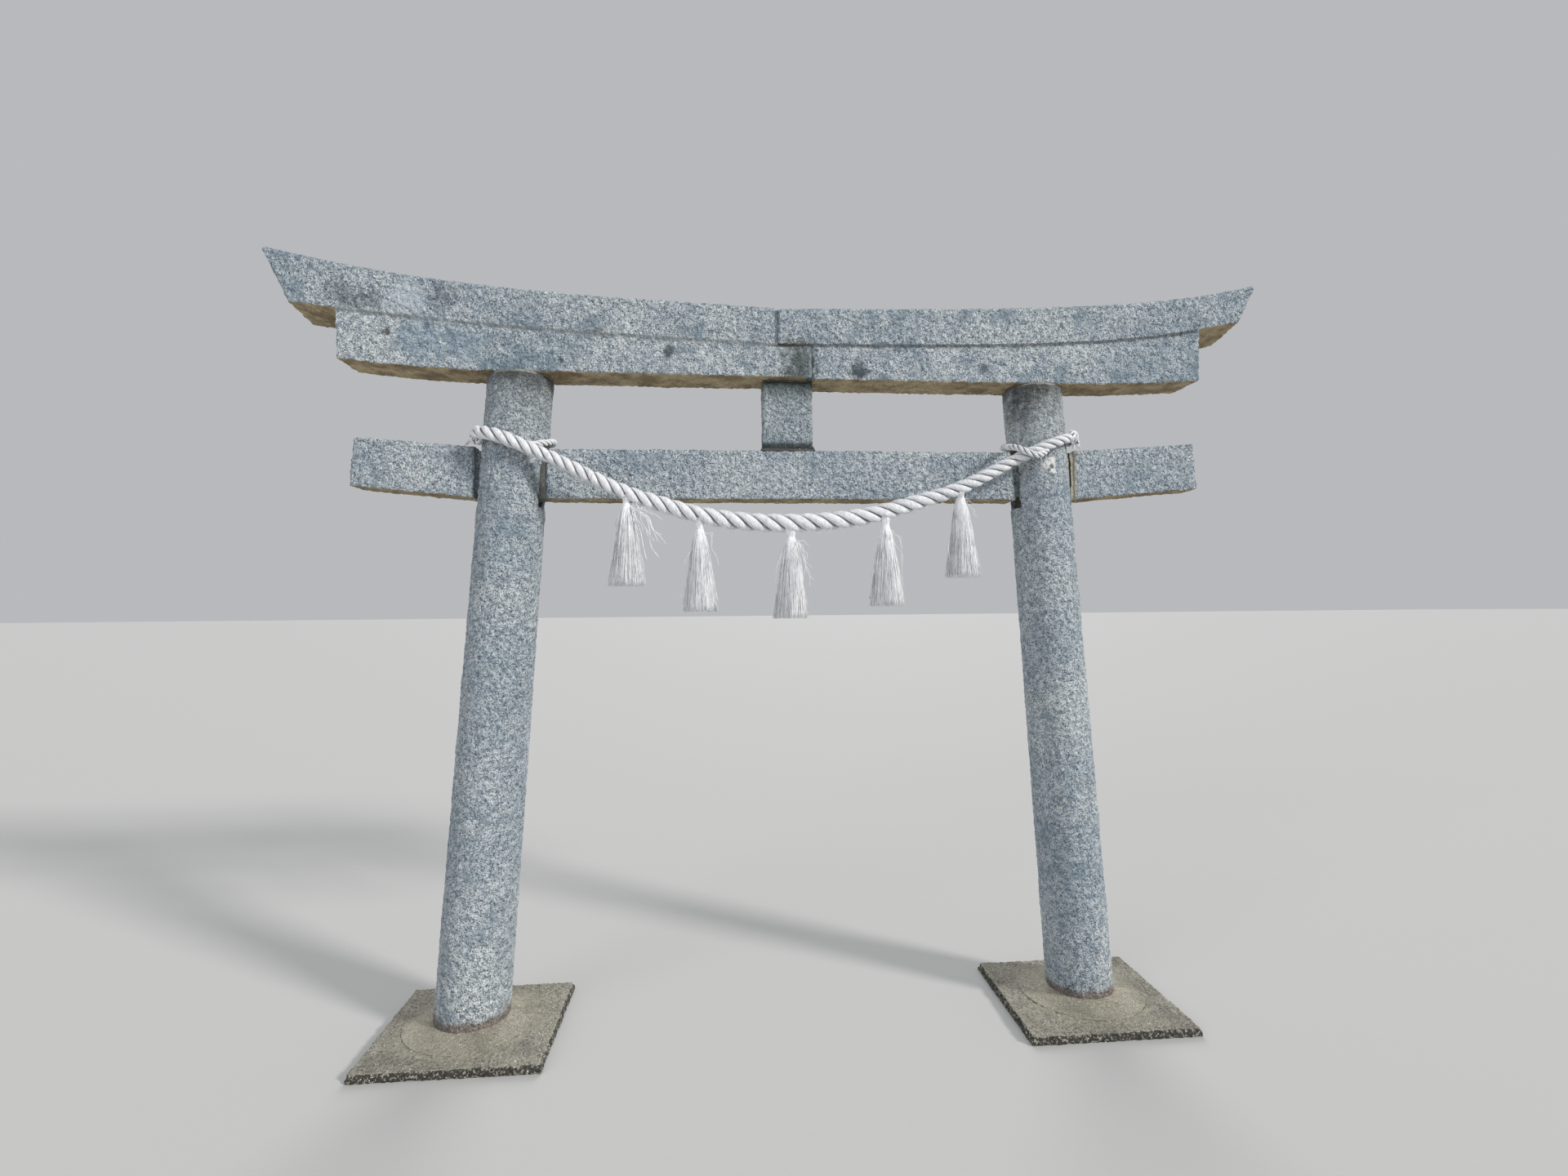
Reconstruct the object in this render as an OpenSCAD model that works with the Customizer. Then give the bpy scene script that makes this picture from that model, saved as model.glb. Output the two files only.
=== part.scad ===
// Small weathered granite torii gate: two leaning round pillars on low plinths,
// a tie beam tenoned through them in three stones, a centre strut, and a curved
// lintel in two stones with a stepped centre joint. A three-strand rope with five
// tassels hangs across the front. X runs along the gate, -Y is the front, +Z is up,
// and the origin is on the floor midway between the plinths. Millimetres.

/* [Plinths] */
// Distance between the pillars' centres at the foot
foot_spacing = 2424; // [1800:4:3000]
// How far each plinth's centre lies inside its pillar's centre
plinth_inset = 12; // [0:2:40]
// Width of both plinths at the top
plinth_w = 640; // [560:10:760]
// How far both plinths reach in front of the pillars' centres
plinth_front = 326; // [280:2:420]
// How far both plinths reach behind the pillars' centres
plinth_back = 256; // [220:2:420]
// Height of both plinths
plinth_h = 30; // [20:5:150]
// How far the plinths' sides spread from top to bottom
plinth_batter = 8; // [0:1:40]
// Outer radius of the mortar collar at a pillar's foot
collar_r = 245; // [180:5:320]
// Height of the mortar collar where it meets the pillar
collar_h = 26; // [10:2:50]

/* [Pillars] */
// Height of the left pillar above its plinth
left_pillar_h = 2488; // [1800:4:3000]
// Height of the right pillar above its plinth
right_pillar_h = 2470; // [1800:4:3000]
// Radius of the left pillar at the foot
left_foot_r = 138; // [100:1:180]
// Radius of the left pillar at the head
left_head_r = 125; // [90:1:170]
// Radius of the right pillar at the foot
right_foot_r = 130; // [100:1:180]
// Radius of the right pillar at the head
right_head_r = 117; // [90:1:170]
// How far the left pillar's head leans in
left_lean = 180; // [0:2:300]
// How far the right pillar's head leans in
right_lean = 154; // [0:2:300]

/* [Tie beam] */
// Height of the beam's underside above the plinths
beam_z = 2005; // [1500:5:2300]
// Height of the beam's section
beam_h = 197; // [120:1:260]
// Thickness of the beam's section
beam_t = 110; // [70:2:180]
// Gap between a shoulder of the beam and the pillar's face
shoulder_gap = 22; // [0:2:50]
// Thickness of the tenons
tenon_t = 60; // [40:2:90]
// Height of the tenons
tenon_h = 150; // [80:2:190]
// Length of the tenons
tenon_l = 118; // [60:2:130]
// Width of the mortises
mortise_w = 100; // [70:2:130]
// How far the mortises reach below the beam
mortise_drop = 28; // [0:2:50]
// How far the mortises reach above the beam
mortise_rise = 13; // [0:1:40]
// How far the left end stone stands out from the pillar's centre line
left_end_reach = 601; // [400:1:800]
// How far the right end stone stands out from the pillar's centre line
right_end_reach = 660; // [400:1:800]
// Rise of the end stones' undersides from shoulder to tip
end_rise = 46; // [0:2:90]
// Height of an end's underside above that of the middle beam, at the pillar
end_step = 3; // [0:1:12]
// Height of an end's top above that of the middle beam, at the pillar
end_top_step = 8; // [0:1:20]
// Height of the end stones at the tip
end_tip_h = 189; // [120:1:260]
// How much further the lower edge of a tip reaches than the upper edge
end_rake = 14; // [0:1:40]

/* [Centre strut] */
// Width of the strut
strut_w = 200; // [120:5:300]
// Thickness of the strut
strut_t = 110; // [80:5:180]
// How far the strut stands right of the gate's middle
strut_x = 26; // [-60:2:60]
// Thickness of the mortar bed under the strut
strut_bed = 8; // [4:1:20]
// How far the mortar bead spreads round the strut's foot
strut_bead = 11; // [4:1:30]
// How far mortar stays back from the faces of the stones round it
mortar_setback = 4; // [1:1:8]
// Height of the strut's top above the plinths
strut_top = 2480; // [1800:4:3000]

/* [Lintel] */
// Half length of the upper lintel at its top, left of the middle
left_tip_x = 1965; // [1500:5:2600]
// Half length of the upper lintel at its top, right of the middle
right_tip_x = 1987; // [1500:5:2600]
// Half length of the upper lintel at its underside, left of the middle
left_toe_x = 1869; // [1400:1:2500]
// Half length of the upper lintel at its underside, right of the middle
right_toe_x = 1919; // [1400:1:2500]
// Half length of the lower lintel at its underside, left of the middle
left_lower_x = 1694; // [1300:2:2300]
// Half length of the lower lintel at its underside, right of the middle
right_lower_x = 1740; // [1300:2:2300]
// Depth of the upper lintel at its underside
upper_d = 188; // [120:2:260]
// How much deeper the upper lintel is at its top edge
upper_flare = 8; // [0:1:30]
// Rise of the upper lintel's ridge above its top edges
ridge_rise = 26; // [0:2:60]
// Depth of the lower lintel
lower_d = 175; // [110:1:250]
// Height of the ledge between upper and lower lintel at the middle
ledge_z = 2615; // [2000:5:3200]
// Centre of the upper joint, left of the middle
upper_joint_x = -20; // [-80:1:80]
// Centre of the lower joint, right of the middle
lower_joint_x = 116; // [40:1:200]
// Width of the mortar in the upright joints
joint_w = 13; // [4:1:24]
// Thickness of the mortar in the level joint
joint_bed = 5; // [2:1:12]
// Bevel worn on the lintel's long edges
edge_wear = 6; // [1:1:14]
// Bevel worn on the edge of the ledge
ledge_wear = 3; // [1:1:6]

/* [Rope and tassels] */
// Radius of the rope at its ends
rope_end_r = 23; // [12:1:34]
// Radius of the rope at the middle of the span
rope_mid_r = 38; // [20:1:50]
// Radius of the thin tail that goes round each pillar
wrap_r = 14; // [8:1:22]
// Radius of each end knot
knot_r = 27; // [16:1:40]
// Length of a tassel
tassel_l = 312; // [150:2:450]
// Radius of a tassel at its foot
tassel_foot_r = 64; // [30:1:90]
// Radius of a tassel at its neck
tassel_neck_r = 15; // [8:1:30]

/* [Hidden] */
$fn = 64;
eps = 1;

granite = [0.66, 0.67, 0.67];
mortar = [0.62, 0.60, 0.56];
concrete = [0.52, 0.51, 0.48];
rope_white = [0.90, 0.89, 0.86];

// Shifts that put the lintel's two tips, and the plinths' fronts and backs, at equal distances
// from the origin
mid_x = (left_tip_x - right_tip_x) / 2;
mid_y = (plinth_front - plinth_back) / 2;
left_foot_x = -foot_spacing / 2;
right_foot_x = foot_spacing / 2;
left_head_x = left_foot_x + left_lean;
right_head_x = right_foot_x - right_lean;
mid_beam_z = beam_z + beam_h / 2;
beam_top = beam_z + beam_h;
left_beam_x = left_foot_x + left_lean * mid_beam_z / left_pillar_h;
right_beam_x = right_foot_x - right_lean * mid_beam_z / right_pillar_h;
left_beam_r = left_foot_r + (left_head_r - left_foot_r) * mid_beam_z / left_pillar_h;
right_beam_r = right_foot_r + (right_head_r - right_foot_r) * mid_beam_z / right_pillar_h;

// Half chord of a pillar in the plane of the beam's front face
function half_chord(r) = sqrt(r * r - pow(beam_t / 2, 2));
left_shoulder = half_chord(left_beam_r) + shoulder_gap;
right_shoulder = half_chord(right_beam_r) + shoulder_gap;

// Sweep of the lintel: u is 0 at the middle of the gate and 1 at the stone's end
function sweep(u, straight, curl, power) = straight * u + curl * pow(max(u, 0), power);
function left_top(u) = 2762 + sweep(u, 80, 115, 3.5);
function right_top(u) = 2759 + sweep(u, 45, 96, 4.5);
function left_ledge(u) = ledge_z + sweep(u, 78, 53, 3);
function right_ledge(u) = ledge_z + joint_bed / 2 + sweep(max(u, 0), 20, 111, 4);
// The undersides are flat over the pillars and curl up beyond them
flat_to = 0.685;
function curl(u) = pow(max(u - flat_to, 0) / (1 - flat_to), 2);
function left_under(u) = 2488 + 13 * max(u, 0) + 34 * curl(u);
function right_under(u) = 2480 - 4 * max(u, 0) + 24 * curl(u);
// The rear edge of the upper lintel's underside hangs lower towards the tips
left_rear_drop = 22;
right_rear_drop = 38;
stations = 20;
// How far the lower lintel's end face slopes out from bottom to top
lower_rake = 8;
// How far the lower lintel reaches up into the upper one
lap = 16;

// The rope's route from knot to knot, heights above the plinths
rope_route = [
  [-1176, -88, 2254], [-1160, -107, 2252], [-1125, -135, 2244], [-1080, -151, 2231],
  [-1036, -153, 2214], [-990, -153, 2196], [-950, -151, 2179],
  [-860, -150, 2139], [-760, -150, 2089], [-660, -149, 2040], [-560, -148, 2001],
  [-450, -147, 1966], [-340, -147, 1935], [-220, -146, 1914], [-100, -146, 1902],
  [0, -146, 1900], [120, -145, 1904], [240, -145, 1915], [350, -144, 1934],
  [460, -144, 1964], [570, -143, 1997], [680, -143, 2032], [780, -142, 2078],
  [880, -142, 2130], [960, -143, 2170], [1000, -143, 2187], [1040, -142, 2205],
  [1083, -145, 2222], [1127, -135, 2238], [1165, -112, 2252], [1187, -88, 2259]
];
rope_sides = 12;
left_knot_at = [-1188, -70, 2256];
right_knot_at = [1202, -69, 2263];
// Thin ends of the rope round the pillars: angle about the pillar, height above the plinths, gap off the
// pillar's face. The right one leaves the pillar and crosses in front of the rope.
left_wrap_stations = [[-60, 2199, 1], [-40, 2214, 1], [0, 2240, 1], [50, 2250, 1], [120, 2258, 1], [204, 2257, 1]];
right_wrap_stations = [
  [-20, 2262, 1], [60, 2257, 1], [120, 2251, 1], [172, 2240, 1], [187, 2233, 2], [202, 2222, 21], [215, 2212, 50],
  [225, 2203, 70], [234, 2187, 80], [242, 2172, 78], [249, 2165, 62]
];
wrap_step = 12;
wrap_sides = 8;
// Where the necks of the tassels are, heights above the plinths
tassel_necks = [[-601, -148, 1972], [-325, -147, 1872], [26, -146, 1843], [398, -144, 1887], [700, -143, 1998]];

module above_plinths() {
  translate([mid_x, mid_y, plinth_h]) children();
}

// An outline in the XZ plane given depth about the gate's centre plane
module slab(depth, outline) {
  rotate([90, 0, 0]) linear_extrude(height = depth, center = true) polygon(outline);
}

// Plinths and pillars

module plinth(x) {
  top = [plinth_w, plinth_front + plinth_back] / 2;
  foot = top + [plinth_batter, plinth_batter];
  corners = [[-1, -1], [1, -1], [1, 1], [-1, 1]];
  points = [
    for (level = [[foot, 0], [top, plinth_h]], c = corners)
      [mid_x + x + c[0] * level[0][0], c[1] * level[0][1], level[1]]
  ];
  faces = [[0, 1, 2, 3], [7, 6, 5, 4], [0, 4, 5, 1], [1, 5, 6, 2], [2, 6, 7, 3], [3, 7, 4, 0]];
  color(concrete) polyhedron(points, faces);
}

module leaning_shaft(foot_x, head_x, foot_r, head_r, h, grow = 0) {
  margin = 60;
  run = head_x - foot_x;
  axis_l = sqrt(run * run + h * h);
  taper = (head_r - foot_r) / axis_l;
  intersection() {
    translate([foot_x, 0, 0]) rotate([0, atan2(run, h), 0]) translate([0, 0, -margin])
      cylinder(h = axis_l + 2 * margin, r1 = foot_r + grow - taper * margin,
        r2 = head_r + grow + taper * margin);
    translate([foot_x - 500, -500, 0]) cube([1000, 1000, h]);
  }
}

module left_shaft(grow = 0) {
  leaning_shaft(left_foot_x, left_head_x, left_foot_r, left_head_r, left_pillar_h, grow);
}

module right_shaft(grow = 0) {
  leaning_shaft(right_foot_x, right_head_x, right_foot_r, right_head_r, right_pillar_h, grow);
}

module mortise(x) {
  translate([x - 250, -mortise_w / 2, beam_z - mortise_drop])
    cube([500, mortise_w, beam_h + mortise_drop + mortise_rise]);
}

module foot_mortar(x, r) {
  steps = 8;
  slope = [
    for (i = [0:steps])
      let (t = i / steps) [collar_r + (r - 20 - collar_r) * t, 3 + (collar_h - 3) * pow(t, 1.8)]
  ];
  translate([x, 0, 0]) rotate_extrude() polygon(concat([[r - 20, 0], [collar_r, 0]], slope));
}

// Tie beam

// Tenon that runs from a shoulder at x in the direction dir, 1 or -1
module tenon(x, dir) {
  translate([dir > 0 ? x - eps : x - tenon_l, -tenon_t / 2, mid_beam_z - tenon_h / 2])
    cube([tenon_l + eps, tenon_t, tenon_h]);
}

// End stone of the beam, its shoulder at x and its tip reaching out in the direction dir
module beam_end(x, dir, reach) {
  slab(beam_t, [
    [x, beam_z + end_step], [x + dir * reach, beam_z + end_step + end_rise],
    [x + dir * (reach - end_rake), beam_z + end_step + end_rise + end_tip_h], [x, beam_top + end_top_step]
  ]);
  tenon(x, -dir);
}

// Mortar under the tenons, inside a pillar
module mortise_bed(x, r) {
  length = 2 * (half_chord(r) - 25);
  translate([x - length / 2, -mortise_w / 2, beam_z - mortise_drop])
    cube([length, mortise_w, mortise_drop + (beam_h - tenon_h) / 2]);
}

// Mortar that closes the gap between a shoulder at x and the pillar's face to its left
module mortise_pointing(x) {
  depth = 52;
  inset = 4;
  translate([x - depth, -mortise_w / 2, beam_z + inset])
    cube([depth, mortise_w, beam_h - inset]);
}

// Lintel

// Skin a row of outlines that all have the same number of points
module loft(rings) {
  n = len(rings[0]);
  m = len(rings);
  points = [for (ring = rings, p = ring) p];
  sides = [
    for (i = [0:m - 2], j = [0:n - 1])
      let (a = i * n + j, b = i * n + (j + 1) % n) [a, b, b + n, a + n]
  ];
  first = [for (j = [n - 1:-1:0]) j];
  last = [for (j = [0:n - 1]) (m - 1) * n + j];
  polyhedron(points, concat(sides, [first, last]));
}

// Section of the upper lintel, worn along its long edges, with a low ridge on top.
// xb, xt: place along the gate at the underside and at the top edge; the rear hangs lower.
function upper_section(xb, xt, zb, zt, drop) =
  let (hb = upper_d / 2, ht = upper_d / 2 + upper_flare, e = edge_wear, f = ledge_wear)
  [
    [xb, hb - f, zb - drop], [xb, hb, zb - drop + f], [xt, ht, zt - e], [xt, ht - e, zt],
    [xt, 0, zt + ridge_rise],
    [xt, e - ht, zt], [xt, -ht, zt - e], [xb, -hb, zb + f], [xb, f - hb, zb]
  ];

function lower_section(xb, xt, zb, zt) =
  let (h = lower_d / 2, e = edge_wear)
  [[xb, h - e, zb], [xb, h, zb + e], [xt, h, zt], [xt, -h, zt], [xb, -h, zb + e], [xb, e - h, zb]];

function between(a, b, t) = a + (b - a) * t;

module left_lintel_stone() {
  upper_x = upper_joint_x - joint_w / 2;
  lower_x = lower_joint_x - joint_w / 2;
  upper = [
    for (i = [0:stations])
      let (u = i / stations, xb = between(upper_x, -left_toe_x, u), xt = between(upper_x, -left_tip_x, u))
        upper_section(xb, xt, left_ledge(-xb / left_toe_x), left_top(-xt / left_tip_x), left_rear_drop * pow(u, 2))
  ];
  lower = [
    for (i = [0:stations])
      let (
        u = i / stations, xb = between(upper_x, -left_lower_x, u), xt = between(upper_x, -left_lower_x - lower_rake, u)
      )
        lower_section(xb, xt, left_under(-xb / left_lower_x), left_ledge(-xt / left_toe_x) + lap)
  ];
  loft(upper);
  loft(lower);
  slab(lower_d, [
    [upper_x - eps, left_under(0)], [lower_x, left_under(0)],
    [lower_x, ledge_z - joint_bed / 2], [upper_x - eps, ledge_z - joint_bed / 2]
  ]);
}

module right_lintel_stone() {
  upper_x = upper_joint_x + joint_w / 2;
  lower_x = lower_joint_x + joint_w / 2;
  upper = [
    for (i = [stations:-1:0])
      let (u = i / stations, xb = between(upper_x, right_toe_x, u), xt = between(upper_x, right_tip_x, u))
        upper_section(xb, xt, right_ledge(xb / right_toe_x), right_top(xt / right_tip_x), right_rear_drop * pow(u, 2))
  ];
  lower = [
    for (i = [stations:-1:0])
      let (
        u = i / stations, xb = between(lower_x, right_lower_x, u), xt = between(lower_x, right_lower_x + lower_rake, u)
      )
        lower_section(xb, xt, right_under(xb / right_lower_x), right_ledge(xt / right_toe_x) + lap)
  ];
  loft(upper);
  loft(lower);
}

module joint_mortar() {
  a = upper_joint_x;
  b = lower_joint_x;
  w = joint_w / 2;
  step = joint_bed / 2;
  slab(lower_d - 2 * mortar_setback, [
    [a - w, ledge_z - step], [b - w, ledge_z - step], [b - w, left_under(0) + mortar_setback],
    [b + w, left_under(0) + mortar_setback],
    [b + w, ledge_z + step], [a - w, ledge_z + step]
  ]);
  slab(upper_d - 2 * mortar_setback, [
    [a - w, ledge_z - step + eps], [a + w, ledge_z - step + eps],
    [a + w, left_top(0) - edge_wear], [a - w, left_top(0) - edge_wear]
  ]);
}

// Mortar between a pillar's head and the straight part of the lintel's underside
module head_mortar(x, r, bottom, left_z, right_z) {
  intersection() {
    translate([x, 0, bottom]) cylinder(h = 60, r = r);
    slab(400, [[x - 200, bottom], [x + 200, bottom], [x + 200, right_z], [x - 200, left_z]]);
  }
}

// Rope and tassels

function unit(v) = v / norm(v);

function tangent(p, i) =
  unit(p[min(i + 1, len(p) - 1)] - p[max(i - 1, 0)]);

function ring(centre, along, r, sides) =
  let (side = unit(cross(along, [0, 0, 1])), up = cross(side, along))
  [for (k = [0:sides - 1]) centre + r * (cos(360 * k / sides) * side + sin(360 * k / sides) * up)];

function rope_r(t) = rope_end_r + (rope_mid_r - rope_end_r) * pow(sin(180 * t), 1.4);

module span() {
  n = len(rope_route);
  loft([
    for (i = [0:n - 1])
      ring(rope_route[i], tangent(rope_route, i), rope_r(i / (n - 1)), rope_sides)
  ]);
}

// Thin end of the rope that goes from the knot behind a pillar and back to the front
module wrap(foot_x, lean, h, foot_r, head_r, stations) {
  from = stations[0][0];
  turn = stations[len(stations) - 1][0] - from;
  heights = [for (s = stations) [s[0], s[1]]];
  gaps = [for (s = stations) [s[0], s[2]]];
  n = round(turn / wrap_step);
  route = [
    for (i = [0:n])
      let (
        a = from + turn * i / n, z = lookup(a, heights),
        reach = between(foot_r, head_r, z / h) + wrap_r + lookup(a, gaps)
      )
        [foot_x + lean * z / h + reach * cos(a), reach * sin(a), z]
  ];
  loft([for (i = [0:n]) ring(route[i], tangent(route, i), wrap_r, wrap_sides)]);
}

module left_knot() {
  difference() {
    translate(left_knot_at) sphere(r = knot_r);
    span();
  }
}

module right_knot() {
  difference() {
    translate(right_knot_at) sphere(r = knot_r);
    span();
  }
}

module tassel(i) {
  r = tassel_foot_r;
  l = tassel_l;
  swell = [
    for (t = [0:0.1:0.9]) [tassel_neck_r + (r - tassel_neck_r) * pow(t, 0.66), -t * l]
  ];
  translate(tassel_necks[i]) rotate_extrude($fn = 40)
    polygon(concat([[0, 0]], swell, [[r, -0.98 * l], [0.9 * r, -l], [0, -l]]));
}

// Neck of a tassel where its strands pass into the rope, with a binding round it
module tassel_tie(i) {
  at = tassel_necks[i];
  height = lookup(at[0], [for (p = rope_route) [p[0], p[2]]]) - at[2];
  difference() {
    translate(at) {
      cylinder(h = height, r1 = tassel_neck_r - 3, r2 = tassel_neck_r + 6, $fn = 32);
      cylinder(h = 9, r = tassel_neck_r, $fn = 32);
    }
    span();
  }
}

module left_plinth() {
  plinth(left_foot_x + plinth_inset);
}

module right_plinth() {
  plinth(right_foot_x - plinth_inset);
}

module left_foot_mortar() {
  color(mortar) above_plinths() difference() {
    foot_mortar(left_foot_x, left_foot_r);
    left_shaft();
  }
}

module right_foot_mortar() {
  color(mortar) above_plinths() difference() {
    foot_mortar(right_foot_x, right_foot_r);
    right_shaft();
  }
}

module left_pillar() {
  color(granite) above_plinths() difference() {
    left_shaft();
    mortise(left_beam_x);
  }
}

module right_pillar() {
  color(granite) above_plinths() difference() {
    right_shaft();
    mortise(right_beam_x);
  }
}

module tie_beam() {
  a = left_beam_x + left_shoulder;
  b = right_beam_x - right_shoulder;
  color(granite) above_plinths() {
    slab(beam_t, [[a, beam_z], [b + 10, beam_z], [b - 10, beam_top], [a, beam_top]]);
    tenon(a, -1);
    tenon(b - 10, 1);
  }
}

module tie_beam_left_end() {
  color(granite) above_plinths()
    beam_end(left_beam_x - left_shoulder, -1, left_end_reach - left_shoulder);
}

module tie_beam_right_end() {
  color(granite) above_plinths()
    beam_end(right_beam_x + right_shoulder, 1, right_end_reach - right_shoulder);
}

module left_mortise_bed() {
  color(mortar) above_plinths() mortise_bed(left_beam_x, left_beam_r);
}

module right_mortise_bed() {
  color(mortar) above_plinths() mortise_bed(right_beam_x, right_beam_r);
}

module left_mortise_pointing() {
  color(mortar) above_plinths() difference() {
    mortise_pointing(left_beam_x + left_shoulder);
    tenon(left_beam_x + left_shoulder, -1);
    difference() {
      left_shaft();
      mortise(left_beam_x);
    }
    mortise_bed(left_beam_x, left_beam_r);
  }
}

module right_mortise_pointing() {
  color(mortar) above_plinths() difference() {
    mortise_pointing(right_beam_x + right_shoulder);
    tenon(right_beam_x + right_shoulder, -1);
    difference() {
      right_shaft();
      mortise(right_beam_x);
    }
    mortise_bed(right_beam_x, right_beam_r);
  }
}

module strut() {
  bottom = beam_top + strut_bed;
  color(granite) above_plinths()
    translate([strut_x - strut_w / 2, -strut_t / 2, bottom]) cube([strut_w, strut_t, strut_top - bottom]);
}

module strut_foot_mortar() {
  foot_w = strut_w + 2 * strut_bead;
  color(mortar) above_plinths() difference() {
    translate([strut_x, 0, beam_top])
      linear_extrude(height = strut_bed + strut_bead, scale = [(strut_w + 2) / foot_w, 1])
        square([foot_w, beam_t], center = true);
    translate([strut_x - strut_w / 2, -strut_t / 2, beam_top + strut_bed]) cube([strut_w, strut_t, 100]);
  }
}

module strut_head_mortar() {
  a = strut_x - strut_w / 2 + mortar_setback;
  color(mortar) above_plinths()
    slab(strut_t - 2 * mortar_setback, [
      [a, strut_top], [lower_joint_x - joint_w / 2, strut_top], [lower_joint_x - joint_w / 2, left_under(0)],
      [upper_joint_x - joint_w / 2, left_under(0)], [a, left_under(0)]
    ]);
}

module left_lintel() {
  color(granite) above_plinths() left_lintel_stone();
}

module right_lintel() {
  color(granite) above_plinths() right_lintel_stone();
}

module lintel_joint_mortar() {
  color(mortar) above_plinths() joint_mortar();
}

module left_head_mortar() {
  color(mortar) above_plinths()
    head_mortar(left_head_x, left_head_r - 12, left_pillar_h, 2497, 2494);
}

module right_head_mortar() {
  color(mortar) above_plinths()
    head_mortar(right_head_x, right_head_r - 12, right_pillar_h, 2478, 2477);
}

module rope_span() {
  color(rope_white) above_plinths() span();
}

module left_rope_wrap() {
  color(rope_white) above_plinths() difference() {
    wrap(left_foot_x, left_lean, left_pillar_h, left_foot_r, left_head_r, left_wrap_stations);
    translate(left_knot_at) sphere(r = knot_r);
    span();
  }
}

module right_rope_wrap() {
  color(rope_white) above_plinths() difference() {
    wrap(right_foot_x, -right_lean, right_pillar_h, right_foot_r, right_head_r, right_wrap_stations);
    translate(right_knot_at) sphere(r = knot_r);
    span();
  }
}

module left_rope_knot() {
  color(rope_white) above_plinths() left_knot();
}

module right_rope_knot() {
  color(rope_white) above_plinths() right_knot();
}

module tied(i) {
  color(rope_white) above_plinths() tassel_tie(i);
}

module strands(i) {
  color(rope_white) above_plinths() tassel(i);
}

left_plinth();
right_plinth();
left_foot_mortar();
right_foot_mortar();
left_pillar();
right_pillar();
tie_beam();
tie_beam_left_end();
tie_beam_right_end();
left_mortise_bed();
right_mortise_bed();
left_mortise_pointing();
right_mortise_pointing();
strut();
strut_foot_mortar();
strut_head_mortar();
left_lintel();
right_lintel();
lintel_joint_mortar();
left_head_mortar();
right_head_mortar();
rope_span();
left_rope_wrap();
right_rope_wrap();
left_rope_knot();
right_rope_knot();
tied(0);  // tassel_1_tie
tied(1);  // tassel_2_tie
tied(2);  // tassel_3_tie
tied(3);  // tassel_4_tie
tied(4);  // tassel_5_tie
strands(0);  // tassel_1
strands(1);  // tassel_2
strands(2);  // tassel_3
strands(3);  // tassel_4
strands(4);  // tassel_5
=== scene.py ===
"""Looks of a small weathered granite torii gate with a hung rope and five tassels.

The stones keep their CAD shapes and get a rough hammered surface. The rope, its thin ends, the knots and the
tassels replace their plain CAD solids. Everything is in metres in the part's own frame.
"""

import math

import bpy
import numpy as np
from mathutils import Matrix, Vector


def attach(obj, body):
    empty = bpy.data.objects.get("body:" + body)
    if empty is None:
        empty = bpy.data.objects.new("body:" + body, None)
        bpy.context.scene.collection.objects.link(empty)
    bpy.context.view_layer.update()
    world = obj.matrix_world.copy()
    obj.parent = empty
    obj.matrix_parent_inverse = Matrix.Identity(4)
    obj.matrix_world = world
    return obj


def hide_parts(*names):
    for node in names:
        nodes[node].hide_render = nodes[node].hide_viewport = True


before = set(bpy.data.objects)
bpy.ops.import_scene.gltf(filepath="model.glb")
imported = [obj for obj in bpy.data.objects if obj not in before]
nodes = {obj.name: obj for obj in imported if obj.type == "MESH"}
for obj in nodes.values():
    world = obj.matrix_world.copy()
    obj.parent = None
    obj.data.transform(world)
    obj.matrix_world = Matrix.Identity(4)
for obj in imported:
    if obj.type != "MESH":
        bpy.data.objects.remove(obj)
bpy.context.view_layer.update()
scene = bpy.context.scene
rng = np.random.default_rng(7)

# Where the gate's own measures start in the part's frame: the middle of the foot spacing, on top of the plinths
MID_X = -0.011
MID_Y = 0.035
PLINTH = 0.030

# The pillars, in millimetres: x of the foot, lean, height, radius at the foot and how much thinner the head is
PILLARS = {-1: (-1212, 180, 2488, 138, 13), 1: (1212, -154, 2470, 130, 13)}


def at(x, y, z):
    """A point given in millimetres in the gate's own measures, in metres in the part's frame."""
    return np.array((x / 1000 + MID_X, y / 1000 + MID_Y, z / 1000 + PLINTH))


# Camera

EYE = (-231, -3034, 1558)
AIM = (4.52, 1.80, 0.53)  # yaw, pitch and roll in degrees
FOCAL, PHOTO_WIDTH, SENSOR = 920, 1920, 36  # pixels, pixels and millimetres


def make_camera():
    yaw, pitch, roll = (math.radians(a) for a in AIM)
    ahead = Vector((math.sin(yaw) * math.cos(pitch), math.cos(yaw) * math.cos(pitch), math.sin(pitch)))
    level = Vector((math.cos(yaw), -math.sin(yaw), 0))
    high = level.cross(ahead)
    right = math.cos(roll) * level - math.sin(roll) * high
    up = math.sin(roll) * level + math.cos(roll) * high
    cam = bpy.data.objects.new("camera", bpy.data.cameras.new("camera"))
    cam.data.sensor_width = SENSOR
    cam.data.lens = SENSOR * FOCAL / PHOTO_WIDTH
    cam.matrix_world = Matrix.Translation(at(*EYE)) @ Matrix((right, up, -ahead)).transposed().to_4x4()
    scene.collection.objects.link(cam)
    scene.camera = cam


make_camera()


# Mesh helpers

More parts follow.
